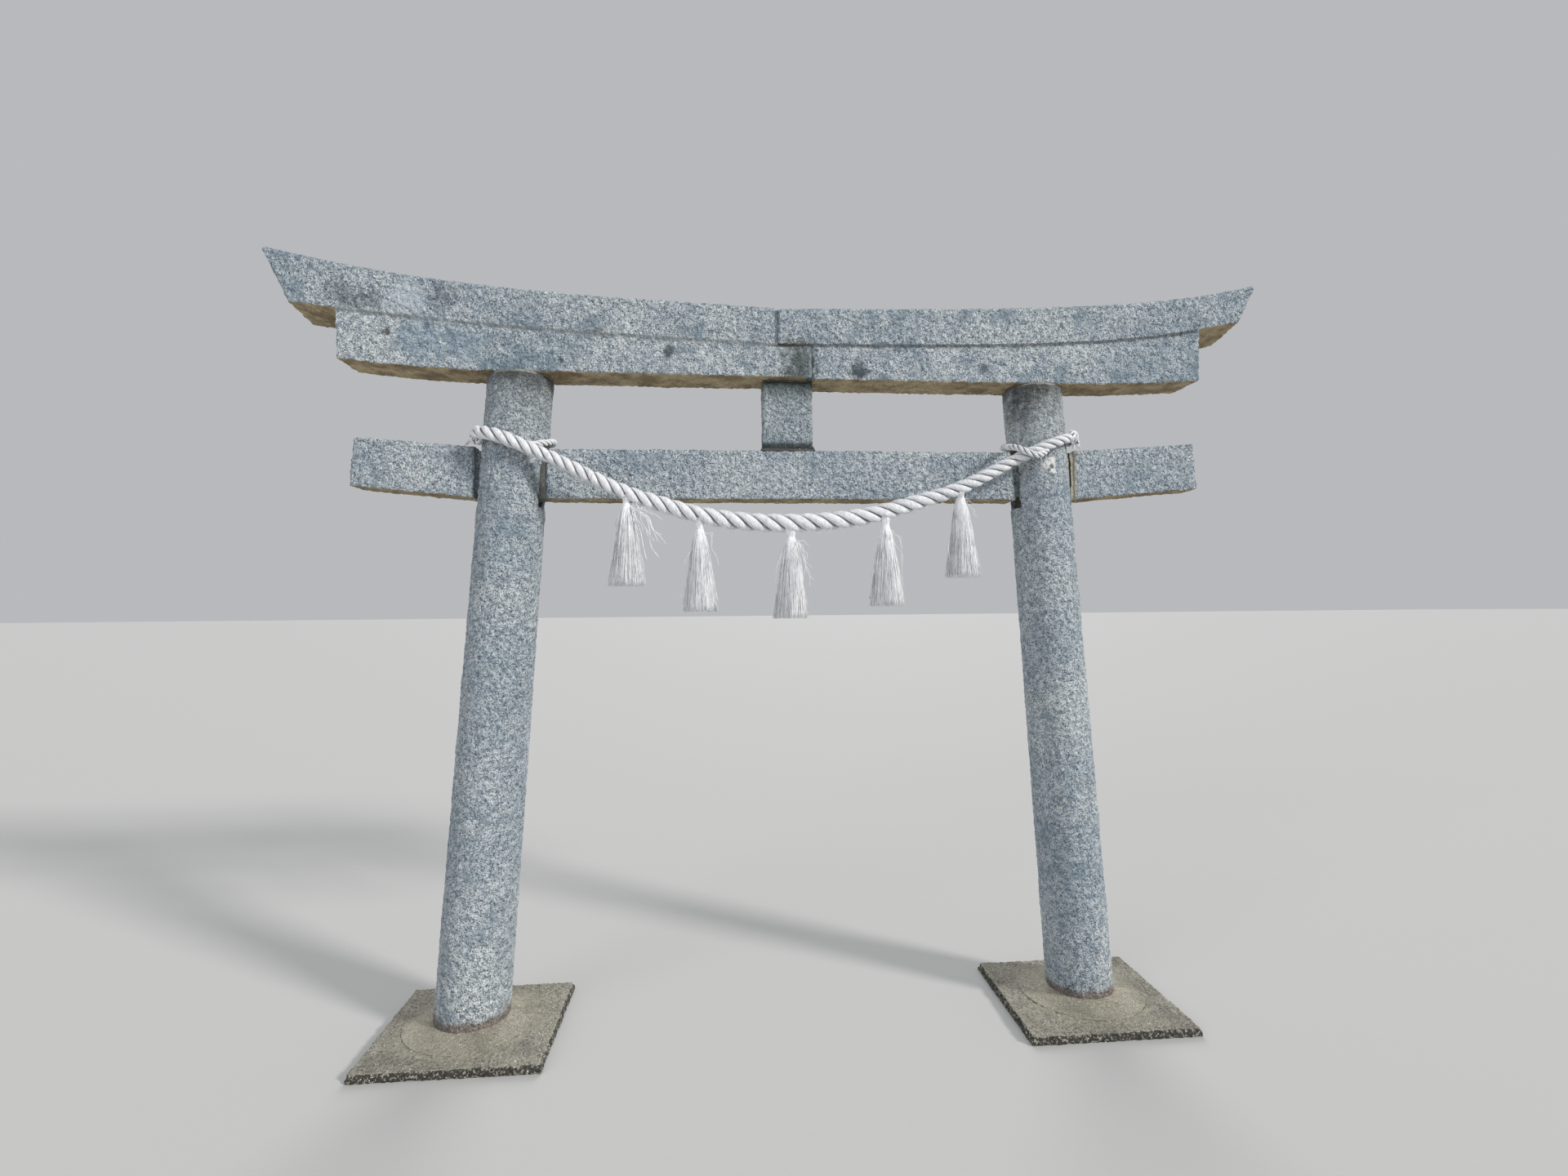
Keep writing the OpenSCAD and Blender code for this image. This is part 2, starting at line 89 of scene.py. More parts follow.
class Build:
    """Collects tubes and revolved skins into one mesh. u runs round each skin and v along it, in metres."""

    def __init__(self):
        self.verts, self.faces, self.uvs, self.count = [], [], [], 0

    def grid(self, rings, along):
        """Skin a stack of closed rings, an array (rings, sides, 3), and close its ends. along is v at each ring."""
        rings = np.asarray(rings, dtype=float)
        m, n = rings.shape[:2]
        self.verts.append(rings.reshape(-1, 3))
        i, j = np.meshgrid(np.arange(m - 1), np.arange(n), indexing="ij")
        a = self.count + i * n + j
        b = self.count + i * n + (j + 1) % n
        self.faces += np.stack([a, b, b + n, a + n], axis=-1).reshape(-1, 4).tolist()
        u0, u1, v0, v1 = j / n, (j + 1) / n, along[i], along[i + 1]
        self.uvs.append(np.stack([u0, v0, u1, v0, u1, v1, u0, v1], axis=-1).reshape(-1, 2))
        self.faces.append([self.count + k for k in range(n)][::-1])
        self.faces.append([self.count + (m - 1) * n + k for k in range(n)])
        self.uvs.append(np.zeros((2 * n, 2)))
        self.count += m * n

    def tube(self, path, radius, sides):
        """A round tube along a path. radius may be one number or one for each point."""
        path = np.asarray(path, dtype=float)
        side, up, _ = frames(path)
        radius = np.broadcast_to(np.asarray(radius, dtype=float), (len(path),))
        a = (2 * np.pi * np.arange(sides) / sides)[None, :, None]
        rings = path[:, None, :] + radius[:, None, None] * (
            np.cos(a) * side[:, None, :] + np.sin(a) * up[:, None, :])
        self.grid(rings, distance(path))

    def object(self, name):
        mesh = bpy.data.meshes.new(name)
        mesh.from_pydata(np.concatenate(self.verts).tolist(), [], self.faces)
        mesh.uv_layers.new(name="UVMap").data.foreach_set("uv", np.concatenate(self.uvs).astype(np.float32).ravel())
        mesh.polygons.foreach_set("use_smooth", np.ones(len(mesh.polygons), dtype=bool))
        obj = bpy.data.objects.new(name, mesh)
        scene.collection.objects.link(obj)
        return obj


def distance(path):
    """How far along a path each of its points lies."""
    return np.concatenate(([0], np.cumsum(np.linalg.norm(np.diff(path, axis=0), axis=1))))


def frames(path):
    """Side and up vectors and tangents along a path, carried along it without twist."""
    tang = np.gradient(path, axis=0)
    tang /= np.linalg.norm(tang, axis=1)[:, None]
    ref = np.array((0.0, 0.0, 1.0)) if abs(tang[0][2]) < 0.9 else np.array((1.0, 0.0, 0.0))
    side = np.empty_like(path)
    side[0] = np.cross(tang[0], ref)
    side[0] /= np.linalg.norm(side[0])
    for i in range(1, len(path)):
        s = side[i - 1] - tang[i] * np.dot(side[i - 1], tang[i])
        side[i] = s / np.linalg.norm(s)
    return side, np.cross(side, tang), tang


def spline(points, step):
    """Points about step apart on a Catmull-Rom curve through the given points."""
    p = np.asarray(points, dtype=float)
    p = np.vstack([2 * p[0] - p[1], p, 2 * p[-1] - p[-2]])
    out = []
    for i in range(1, len(p) - 2):
        n = max(2, int(np.linalg.norm(p[i + 1] - p[i]) / step * 4))
        t = np.linspace(0, 1, n, endpoint=False)[:, None]
        out.append(0.5 * (2 * p[i] + (p[i + 1] - p[i - 1]) * t
                          + (2 * p[i - 1] - 5 * p[i] + 4 * p[i + 1] - p[i + 2]) * t ** 2
                          + (3 * p[i] - p[i - 1] - 3 * p[i + 1] + p[i + 2]) * t ** 3))
    fine = np.vstack(out + [p[-2][None, :]])
    along = distance(fine)
    even = np.linspace(0, along[-1], max(2, int(round(along[-1] / step)) + 1))
    return np.stack([np.interp(even, along, fine[:, k]) for k in range(3)], axis=1)


# Rope

STRAND = 0.475  # thickness of a strand as a share of the rope's
SWELL = 0.06  # how much a strand swells and thins, as a share of its thickness
SWELL_EVERY = 0.03


def laid_rope(build, path, radius, lay, sides):
    """Three strands laid round a path. Each swells and thins a little, as hand-laid straw does.

    lay is the length of one full turn of a strand, in rope diameters. Every ring starts on the side that faces the
    rope's middle, so u = 0.5 is the outside of a strand.
    """
    path = np.asarray(path, dtype=float)
    side, up, _ = frames(path)
    radius = np.broadcast_to(np.asarray(radius, dtype=float), (len(path),))
    along = distance(path)
    phase = -np.cumsum(2 * np.pi * np.diff(along, prepend=0) / (lay * 2 * radius))
    strand_r = radius * STRAND
    theta = -np.pi + 2 * np.pi * np.arange(sides) / sides
    squeeze = 0.96 + 0.03 * np.cos(theta) + 0.09 * np.sin(theta) ** 2  # soft strands press flat where they meet
    for k in range(3):
        a = phase + 2 * np.pi * k / 3
        out = np.cos(a)[:, None] * side + np.sin(a)[:, None] * up
        centre = path + (radius - strand_r)[:, None] * out
        run = np.gradient(centre, axis=0)
        run /= np.linalg.norm(run, axis=1)[:, None]
        across = np.cross(run, out)
        lumps = np.arange(0, along[-1] + SWELL_EVERY, SWELL_EVERY)
        swell = 1 + SWELL * np.interp(along, lumps, rng.uniform(-1, 1, len(lumps)))
        r = (strand_r * np.minimum(swell, 1.03))[:, None, None] * squeeze[None, :, None]
        rings = centre[:, None, :] + r * (
            np.cos(theta)[None, :, None] * out[:, None, :] + np.sin(theta)[None, :, None] * across[:, None, :])
        build.grid(rings, along)


ROPE_ROUTE = [
    (-1176, -88, 2254), (-1160, -107, 2252), (-1125, -135, 2244), (-1080, -151, 2231),
    (-1036, -153, 2214), (-990, -153, 2196), (-950, -151, 2179),
    (-860, -150, 2139), (-760, -150, 2089), (-660, -149, 2040), (-560, -148, 2001),
    (-450, -147, 1966), (-340, -147, 1935), (-220, -146, 1914), (-100, -146, 1902),
    (0, -146, 1900), (120, -145, 1904), (240, -145, 1915), (350, -144, 1934),
    (460, -144, 1964), (570, -143, 1997), (680, -143, 2032), (780, -142, 2078),
    (880, -142, 2130), (960, -143, 2170), (1000, -143, 2187), (1040, -142, 2205),
    (1083, -145, 2222), (1127, -135, 2238), (1165, -112, 2252), (1187, -88, 2259),
]
ROPE_RADIUS = [  # share of the way along the rope, and radius there
    (0, 0.0265), (0.06, 0.0275), (0.14, 0.0250), (0.25, 0.0295), (0.4, 0.0355), (0.5, 0.0375), (0.6, 0.0355),
    (0.75, 0.0295), (0.86, 0.0250), (0.93, 0.0225), (1, 0.0200),
]
rope_path = spline([at(*p) for p in ROPE_ROUTE], 0.008)
rope_radius = np.interp(np.linspace(0, 1, len(rope_path)), *zip(*ROPE_RADIUS))

rope = Build()
laid_rope(rope, rope_path, rope_radius, lay=2.65, sides=16)
rope = rope.object("rope")
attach(rope, "root")
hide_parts("rope_span")


# Thin ends of the rope round the pillars

THIN_RADIUS = 0.0135
OFF_FACE = 15  # from a pillar's face to the middle of a thin end, in millimetres


def round_pillar(sign, heights):
    """Points on a line round a pillar, from (angle in degrees, height) pairs. sign is -1 for the left pillar."""
    foot_x, lean, tall, foot_r, taper = PILLARS[sign]
    points = []
    for a, z in heights:
        x, r = foot_x + lean * z / tall, foot_r - taper * z / tall + OFF_FACE
        points.append((x + r * math.cos(math.radians(a)), r * math.sin(math.radians(a)), z))
    return points


def thin_end(name, points, node):
    build = Build()
    laid_rope(build, spline([at(*p) for p in points], 0.004), THIN_RADIUS, lay=2.9, sides=10)
    obj = build.object(name)
    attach(obj, "root")
    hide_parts(node)
    return obj


left_wrap = thin_end("rope_end_left", round_pillar(-1, [
    (-62, 2198), (-50, 2206), (-40, 2214), (-20, 2228), (0, 2240), (25, 2246), (50, 2250), (90, 2255), (120, 2258),
    (160, 2259), (204, 2257)]), "left_rope_wrap")
# On the right the thin end comes round the inner side, crosses over the rope and is tucked up behind it.
right_wrap = thin_end("rope_end_right", round_pillar(1, [
    (-20, 2262), (20, 2260), (60, 2257), (90, 2254), (120, 2251), (150, 2246), (172, 2240), (187, 2233)]) + [
    (931, -58, 2222), (922, -104, 2212), (929, -142, 2203), (948, -170, 2187), (974, -183, 2172), (1003, -178, 2167),
    (1030, -164, 2176), (1052, -146, 2192)], "right_rope_wrap")


# Knots: the rope's strands turn over themselves outside each pillar and end in a frayed tail

def frayed(build, points, count, spread, radius):
    """A tail of thin bundles along a route, which part from each other towards its tip."""
    route = spline([at(*p) for p in points], 0.006)
    t = np.linspace(0, 1, len(route))[:, None]
    side, up, _ = frames(route)
    for _ in range(count):
        a, b = rng.uniform(-1, 1, 2)
        bow = rng.uniform(-0.5, 0.5) * np.sin(np.pi * t)
        shift = (a + bow) * side + (b - bow) * up
        cut = max(4, int(len(route) * rng.uniform(0.8, 1.0)))
        path = (route + shift * (0.004 + spread * t ** 1.5))[:cut]
        build.tube(path, radius * np.linspace(1.0, 0.45, len(path)) * rng.uniform(0.6, 1.2), 5)


def knot(side, turns, tails):
    """The turned strands outside a pillar, and their frayed tail."""
    build = Build()
    for points, radius in turns:
        laid_rope(build, spline([at(*p) for p in points], 0.004), radius, lay=3.2, sides=9)
    turned = build.object("rope_knot_" + side)
    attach(turned, "root")
    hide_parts(side + "_rope_knot")
    build = Build()
    for points, count, spread, radius in tails:
        frayed(build, points, count, spread, radius)
    tail = build.object("rope_tail_" + side)
    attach(tail, "root")
    return turned, tail


left_knot, left_tail = knot("left", [
    ([(-1150, -112, 2242), (-1158, -122, 2254), (-1168, -106, 2264), (-1180, -78, 2260), (-1184, -62, 2242),
      (-1176, -68, 2226), (-1164, -94, 2222), (-1158, -114, 2234)], 0.0140),
    ([(-1164, -92, 2248), (-1182, -88, 2256), (-1195, -72, 2250), (-1196, -66, 2234), (-1182, -74, 2224)], 0.0125),
], [
    ([(-1184, -74, 2246), (-1200, -70, 2236), (-1218, -67, 2225), (-1236, -64, 2210)], 6, 0.009, 0.0042),
    ([(-1186, -68, 2250), (-1204, -64, 2240), (-1228, -62, 2224)], 6, 0.007, 0.0026),
])
right_knot, right_tail = knot("right", [
    ([(1160, -108, 2240), (1168, -124, 2252), (1176, -112, 2270), (1186, -86, 2274), (1194, -68, 2258),
      (1188, -70, 2238), (1174, -90, 2232)], 0.0135),
    ([(1166, -106, 2256), (1182, -102, 2270), (1198, -90, 2272), (1208, -80, 2254), (1208, -80, 2236)], 0.0125),
], [
    ([(1190, -88, 2270), (1206, -82, 2266), (1214, -80, 2244), (1219, -80, 2208)], 8, 0.007, 0.0042),
    ([(1184, -84, 2262), (1198, -80, 2252), (1203, -78, 2230), (1206, -78, 2206)], 7, 0.006, 0.0030),
])


# Tassels: a flat-cut bundle of fibres under the rope, bound at the neck, with a few long strays

NECKS = [(-601, -148, 1972), (-325, -147, 1872), (26, -146, 1843), (398, -144, 1887), (700, -143, 1998)]
NECK_RADIUS, FOOT_RADIUS, TASSEL_LENGTH = 0.0145, 0.0630, 0.312
CORE_SIDES, CORE_RINGS = 72, 15


def bell(t):
    """Radius of a tassel, t from 0 at the neck to 1 at the foot."""
    return NECK_RADIUS + (FOOT_RADIUS - NECK_RADIUS) * np.asarray(t) ** 0.66


def tassel(i, sway, strays, thick=0.0010):
    """Tassel i. sway moves its foot sideways, and strays are (angle, reach, drop) of its long loose fibres."""
    build = Build()
    neck = at(*NECKS[i])
    t = np.linspace(0, 1, CORE_RINGS)
    angles = 2 * np.pi * np.arange(CORE_SIDES) / CORE_SIDES
    ridges = np.arange(0, CORE_SIDES + 1, 2)
    ridge = 0.88 + 0.05 * np.interp(np.arange(CORE_SIDES), ridges, rng.uniform(-1, 1, len(ridges)))
    rings = np.empty((CORE_RINGS, CORE_SIDES, 3))
    rings[..., 0] = bell(t)[:, None] * ridge * np.cos(angles) + sway * t[:, None] ** 1.5
    rings[..., 1] = bell(t)[:, None] * ridge * np.sin(angles)
    rings[..., 2] = -0.985 * TASSEL_LENGTH * t[:, None]
    build.grid(neck + rings, t * TASSEL_LENGTH)

    def lock(angle, inner, radius, sides, length, drift, flick):
        """A thin lock from inside the neck to the foot. inner is its share of the bell's radius."""
        s = np.linspace(0, 1, 11)
        reach = bell(s) * (inner + flick * s ** 4)
        a = angle + drift * s
        wave = rng.normal(0, 0.0016) * np.sin(2 * np.pi * (s * rng.uniform(0.6, 1.6) + rng.uniform())) * s
        path = np.stack([reach * np.cos(a) + sway * s ** 1.5 + wave, reach * np.sin(a), -length * s], axis=1)
        inside = (0.007 * math.cos(angle), 0.007 * math.sin(angle), 0.012)
        build.tube(neck + np.vstack([inside, path]), radius * (1 - 0.35 * np.append(0, s)), sides)

    for a in np.linspace(0, 2 * np.pi, 96, endpoint=False):
        lock(a + rng.uniform(-0.04, 0.04), rng.uniform(0.86, 0.97), rng.uniform(0.0016, 0.0030), 5,
             TASSEL_LENGTH * rng.uniform(0.988, 1.0), rng.normal(0, 0.08), 0)
    for _ in range(230):
        lock(rng.uniform(0, 2 * np.pi), rng.uniform(0.93, 1.04), rng.uniform(0.0006, 0.0011), 3,
             TASSEL_LENGTH * rng.choice((0.985, 0.995, 1.0, 0.9)), rng.normal(0, 0.16), rng.uniform(0, 0.10))
    for angle, reach, drop in strays:
        a = math.radians(angle)
        out = np.array((math.cos(a), math.sin(a), 0))
        points = [neck + 0.010 * out + (0, 0, -0.01)]
        for k in range(1, 6):
            f = k / 5
            curl = rng.uniform(-0.012, 0.012, 3)
            points.append(neck + out * (0.012 + reach * f ** 0.8) + np.array((0, 0, -drop * f ** 1.3)) + curl)
        path = spline(points, 0.008)
        build.tube(path, np.linspace(thick, 0.6 * thick, len(path)), 4)
    obj = build.object("tassel_fibres_%d" % (i + 1))
    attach(obj, "root")
    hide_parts("tassel_%d" % (i + 1))
    return obj


tassels = [
    tassel(0, -0.002, [(-20, 0.085, 0.04), (-30, 0.13, 0.16), (-10, 0.075, 0.17), (-35, 0.06, 0.22), (-15, 0.12, 0.07),
                       (-25, 0.10, 0.15), (-40, 0.075, 0.10), (-18, 0.14, 0.17), (-22, 0.125, 0.12), (-12, 0.11, 0.20),
                       (-30, 0.085, 0.21), (-8, 0.05, 0.30), (160, 0.05, 0.25)], 0.0016),
    tassel(1, 0.002, [(-15, 0.05, 0.02), (-25, 0.06, 0.13), (200, 0.055, 0.25), (-60, 0.05, 0.29)]),
    tassel(2, -0.004, [(-20, 0.065, 0.04), (-10, 0.06, 0.09), (-30, 0.075, 0.16), (15, 0.07, 0.12), (190, 0.06, 0.26),
                       (-35, 0.055, 0.10), (-50, 0.06, 0.14), (-20, 0.07, 0.19), (-60, 0.05, 0.17), (200, 0.07, 0.30)]),
    tassel(3, 0.003, [(-15, 0.05, 0.09), (-25, 0.06, 0.16), (-10, 0.065, 0.23), (180, 0.05, 0.24)]),
    tassel(4, 0.004, [(-15, 0.045, 0.03), (-35, 0.05, 0.08), (-10, 0.055, 0.24), (200, 0.05, 0.27)]),
]


def rope_over(x):
    """Centre and radius of the rope above a place x in metres."""
    k = int(np.argmin(np.abs(rope_path[:, 0] - x)))
    return rope_path[k], rope_radius[k]


WAIST = (0.0118, 0.0110)  # half width and half depth of the fibres above a neck
COIL = (0.0138, 0.0132)  # half width and half depth of the twine round them
TWINE_PITCH = 0.0031


def tie(i, half_width, turns=3.2):
    """The fibres that fan out from the neck of tassel i into the rope, and the twine bound round the neck."""
    build = Build()
    neck = at(*NECKS[i])

    def fan(angle, t, grow=1.0):
        """A place on the fan's surface, t from 0 at the waist to 1 in the rope."""
        wide = grow * (WAIST[0] + (half_width - WAIST[0]) * t ** 1.7)
        centre, radius = rope_over(neck[0] + wide * math.cos(angle))
        deep = grow * (WAIST[1] + (0.5 * radius - WAIST[1]) * t)
        drop = (1 - t) * (neck[2] - 0.006) + t * (centre[2] - 0.4 * radius)
        middle = (1 - t) * neck[1] + t * (centre[1] - 0.15 * radius)
        return neck[0] + wide * math.cos(angle), middle + deep * math.sin(angle), drop

    heights = np.linspace(0, 1, 8)
    around = 2 * np.pi * np.arange(40) / 40
    build.grid([[fan(a, t, 0.93) for a in around] for t in heights], heights * 0.04)
    for a in np.linspace(0, 2 * np.pi, 150, endpoint=False):
        twist = rng.normal(0, 0.22)
        path = [fan(a + twist * t, t, rng.uniform(0.97, 1.03)) for t in (0, 0.2, 0.45, 0.72, 1)]
        build.tube(spline(path, 0.006), rng.uniform(0.0007, 0.0015), 4)
    a = np.linspace(0, 2 * np.pi * turns, 60)
    coil = np.stack([COIL[0] * np.cos(a), COIL[1] * np.sin(a), 0.0004 + TWINE_PITCH * a / (2 * np.pi)], axis=1)
    build.tube(neck + coil, 0.0015, 6)
    obj = build.object("tassel_neck_%d" % (i + 1))
    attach(obj, "root")
    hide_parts("tassel_%d_tie" % (i + 1))
    return obj


ties = [tie(0, 0.014, 1.1), tie(1, 0.017), tie(2, 0.031), tie(3, 0.020), tie(4, 0.014, 1.1)]


# Fuzz: short loose fibres that stand off the rope

def fuzz(name, count):
    build = Build()
    side, up, tang = frames(rope_path)
    for _ in range(count):
        k = rng.integers(2, len(rope_path) - 2)
        a = rng.uniform(0, 2 * np.pi)
        out = math.cos(a) * side[k] + math.sin(a) * up[k]
        root = rope_path[k] + 0.93 * rope_radius[k] * out
        length = rng.uniform(0.006, 0.022)
        way = tang[k] * rng.choice((-1, 1)) * rng.uniform(0.5, 1) + rng.uniform(-0.4, 0.4, 3)
        sag = np.array((0, 0, -0.2 * length))
        f = np.linspace(0, 1, 4)[:, None]
        build.tube(root + out * 0.35 * length * f + way * length * f + sag * f ** 2, 0.00045, 3)
    obj = build.object(name)
    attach(obj, "root")
    return obj


rope_fuzz = fuzz("rope_fuzz", 1100)


# Materials

class Sheet:
    """Wires nodes, in one material or in one shared effect."""

    def __init__(self, tree):
        self.tree = tree

    def put(self, socket, value):
        if isinstance(value, bpy.types.NodeSocket):
            self.tree.links.new(value, socket)
        elif hasattr(socket.default_value, "__len__") and len(socket.default_value) == 4 and len(value) == 3:
            socket.default_value = (*value, 1)
        else:
            socket.default_value = value

    def add(self, kind, inputs, **settings):
        node = self.tree.nodes.new("ShaderNode" + kind)
        for key, value in settings.items():
            setattr(node, key, value)
        for key, value in inputs.items():
            self.put(node.inputs[key], value)
        return node

    def ragged(self, vector, scale, amount):
        """Small offsets either side of 0 that make an edge uneven."""
        spread = self.math("SUBTRACT", self.noise(vector, scale, 4, 0.6), 0.5)
        return self.math("MULTIPLY", spread, amount)

    def stretched(self, vector, scale):
        return self.add("Mapping", {"Vector": vector, "Scale": scale}).outputs[0]

    def noise(self, vector, scale, detail, rough):
        """Soft noise of 0 to 1, with scale patches to a metre."""
        return self.add("TexNoise", {"Vector": vector, "Scale": scale, "Detail": detail,
                                     "Roughness": rough}).outputs["Fac"]

    def cells(self, vector, scale, output="Distance", feature="F1"):
        return self.add("TexVoronoi", {"Vector": vector, "Scale": scale}, feature=feature).outputs[output]

    def math(self, op, a, b=0.0):
        return self.add("Math", {0: a, 1: b}, operation=op).outputs[0]

    def step(self, value, low, high):
        """A smooth ramp of value from 0 at low to 1 at high."""
        return self.add("MapRange", {"Value": value, "From Min": low, "From Max": high},
                        interpolation_type="SMOOTHSTEP").outputs[0]

    def mix(self, amount, a, b, mode="MIX"):
        return self.add("Mix", {0: amount, 6: a, 7: b}, data_type="RGBA", blend_type=mode).outputs[2]

    def split(self, vector):
        return self.add("SeparateXYZ", {0: vector}).outputs

    def bump(self, height, strength, distance):
        return self.add("Bump", {"Height": height, "Strength": strength, "Distance": distance}).outputs[0]

    def use(self, shared, **inputs):
        """Place a shared effect here. Underscores in the input names stand for spaces."""
        node = self.tree.nodes.new("ShaderNodeGroup")
        node.node_tree = shared.tree
        for key, value in inputs.items():
            self.put(node.inputs[key.replace("_", " ")], value)
        return node.outputs


class Finish(Sheet):
    """A material with one surface shader."""

    def __init__(self, name, roughness, specular=0.35):
        self.mat = bpy.data.materials.new(name)
        self.mat.use_nodes = True
        super().__init__(self.mat.node_tree)
        self.tree.nodes.clear()
        self.shader = self.tree.nodes.new("ShaderNodeBsdfPrincipled")
        out = self.tree.nodes.new("ShaderNodeOutputMaterial")
        self.tree.links.new(self.shader.outputs[0], out.inputs[0])
        self.shader.inputs["Roughness"].default_value = roughness
        self.shader.inputs["Specular IOR Level"].default_value = specular
        self.place = self.tree.nodes.new("ShaderNodeTexCoord").outputs["Object"]

    def facing_z(self):
        return self.split(self.tree.nodes.new("ShaderNodeNewGeometry").outputs["Normal"])[2]

    def finish(self, color, normal):
        self.put(self.shader.inputs["Base Color"], color)
        self.put(self.shader.inputs["Normal"], normal)
        return self.mat


def effect(name, takes, gives):
    """A shared effect: a node group whose inputs and outputs are given as {name: kind}."""
    tree = bpy.data.node_groups.new(name, "ShaderNodeTree")
    for ports, way in ((takes, "INPUT"), (gives, "OUTPUT")):
        for label, kind in ports.items():
            tree.interface.new_socket(label, in_out=way, socket_type="NodeSocket" + kind)
    sheet = Sheet(tree)
    sheet.given = tree.nodes.new("NodeGroupInput").outputs
    sheet.result = tree.nodes.new("NodeGroupOutput").inputs
    return sheet


def rgb(r, g, b):
    """Linear colour from sRGB numbers of 0 to 255."""
    return tuple((c / 255 / 12.92) if c <= 10.31 else ((c / 255 + 0.055) / 1.055) ** 2.4 for c in (r, g, b))


def make_granite_grain():
    """Grey ground with pale mottles that are partly painted highlight, pale feldspar, dark specks and fine mica, and
    the hammered relief of the dressed face.
    """
    s = effect("granite_grain", {"Place": "Vector"}, {"Color": "Color", "Height": "Float"})
    place = s.given["Place"]
    # The ground mottles at about 20 mm from grey-blue to near white. The pale mottles are partly the stone's own tone
    # and partly painted highlight, standing in for the lit bumps of the hammered relief. The ground's blue is partly
    # painted skylight.
    color = s.mix(s.step(s.noise(place, 48, 4, 0.65), 0.40, 0.60), rgb(158, 172, 184), rgb(224, 230, 234))
    color = s.mix(s.step(s.noise(place, 150, 4, 0.7), 0.52, 0.60), color, rgb(240, 241, 240))
    color = s.mix(s.step(s.noise(place, 185, 4, 0.7), 0.455, 0.405), color, rgb(88, 97, 106))
    mica = s.step(s.split(s.cells(place, 330, "Color"))[0], 0.88, 0.92)
    s.put(s.result["Color"], s.mix(s.math("MULTIPLY", mica, 0.75), color, rgb(54, 60, 67)))
    marks = s.step(s.cells(place, 42), 0.05, 0.8)
    s.put(s.result["Height"], s.math("ADD", s.noise(place, 66, 4, 0.55), s.math("MULTIPLY", marks, 0.12)))
    return s


def make_weather():
    """Slow changes of tone, slate-grey patches and pale crusts of lichen."""
    s = effect("weather", {"Place": "Vector", "Color": "Color", "Damp": "Float", "Lichen": "Float"},
               {"Color": "Color"})
    place = s.given["Place"]
    tone = s.mix(s.step(s.noise(place, 2.3, 4, 0.6), 0.35, 0.7), rgb(216, 223, 228), rgb(255, 255, 253))
    color = s.mix(1.0, s.given["Color"], tone, "MULTIPLY")
    patch = s.step(s.noise(place, 8, 5, 0.65), 0.52, 0.66)
    color = s.mix(s.math("MULTIPLY", patch, s.given["Damp"]), color, rgb(104, 126, 142))
    crust = s.step(s.noise(s.stretched(place, (1, 1, 1.4)), 24, 5, 0.7), 0.56, 0.66)
    color = s.mix(s.math("MULTIPLY", crust, s.given["Lichen"]), color, rgb(206, 209, 204))
    s.put(s.result["Color"], color)
    return s


def make_brown_underside():
    """Ochre on faces that look down: partly the ochre bloom of stone that never sees rain, partly painted warm light
    bounced up from the ground.
    """
    s = effect("brown_underside", {"Place": "Vector", "Color": "Color", "Facing": "Float"}, {"Color": "Color"})
    ochre = s.mix(s.step(s.noise(s.given["Place"], 11, 5, 0.65), 0.35, 0.65), rgb(232, 206, 158), rgb(164, 136, 94))
    color = s.mix(0.45, ochre, s.given["Color"], "MULTIPLY")
    s.put(s.result["Color"], s.mix(s.math("MULTIPLY", s.step(s.given["Facing"], -0.55, -0.8), 0.92),
                                   s.given["Color"], color))
    return s


def make_rain_streaks():
    """Runs of dirt that fade in from the height Clean to the height Full, in metres."""
    s = effect("rain_streaks", {"Place": "Vector", "Color": "Color", "Dirt": "Color", "Amount": "Float",
                                "Clean": "Float", "Full": "Float"}, {"Color": "Color"})
    drip = s.noise(s.stretched(s.given["Place"], (13, 13, 2.2)), 1.0, 5, 0.65)
    height = s.step(s.split(s.given["Place"])[2], s.given["Clean"], s.given["Full"])
    mask = s.math("MULTIPLY", s.step(s.math("ADD", drip, s.math("MULTIPLY", height, 0.32)), 0.52, 0.78), height)
    mask = s.math("MULTIPLY", mask, s.given["Amount"])
    s.put(s.result["Color"], s.mix(mask, s.given["Color"], s.given["Dirt"]))
    return s


def make_stain():
    """One stain with a ragged edge round a centre."""
    s = effect("stain", {"Place": "Vector", "Color": "Color", "Centre": "Vector", "Radius": "Float",
                         "Dirt": "Color", "Amount": "Float"}, {"Color": "Color"})
    gap = s.add("VectorMath", {0: s.given["Place"], 1: s.given["Centre"]}, operation="DISTANCE").outputs["Value"]
    reach = s.math("ADD", s.math("DIVIDE", gap, s.given["Radius"]), s.ragged(s.given["Place"], 42, 2.2))
    s.put(s.result["Color"], s.mix(s.math("MULTIPLY", s.step(reach, 1.2, 0.4), s.given["Amount"]),
                                   s.given["Color"], s.given["Dirt"]))
    return s


def make_upright_band():
    """A ragged upright line at x = Middle."""
    s = effect("upright_band", {"Place": "Vector", "Middle": "Float", "Half Width": "Float"}, {"Mask": "Float"})
    place = s.given["Place"]
    off = s.math("ADD", s.math("SUBTRACT", s.split(place)[0], s.given["Middle"]), s.ragged(place, 18, 0.02))
    off = s.math("ABSOLUTE", off)
    s.put(s.result["Mask"], s.step(s.math("DIVIDE", off, s.given["Half Width"]), 1.0, 0.55))
    return s


def make_trowelled_area():
    """The part of the concrete within reach of a pillar's foot, with a ragged edge."""
    s = effect("trowelled_area", {"Place": "Vector"}, {"Mask": "Float"})
    place = s.given["Place"]
    x, y, _ = s.split(place)
    across = s.math("SUBTRACT", s.math("ABSOLUTE", s.math("SUBTRACT", x, MID_X)), 1.20)
    along = s.math("SUBTRACT", y, MID_Y - 0.04)
    gap = s.math("SQRT", s.math("ADD", s.math("MULTIPLY", across, across), s.math("MULTIPLY", along, along)))
    gap = s.math("ADD", gap, s.ragged(place, 9, 0.16))
    s.put(s.result["Mask"], s.step(gap, 0.29, 0.21))
    return s


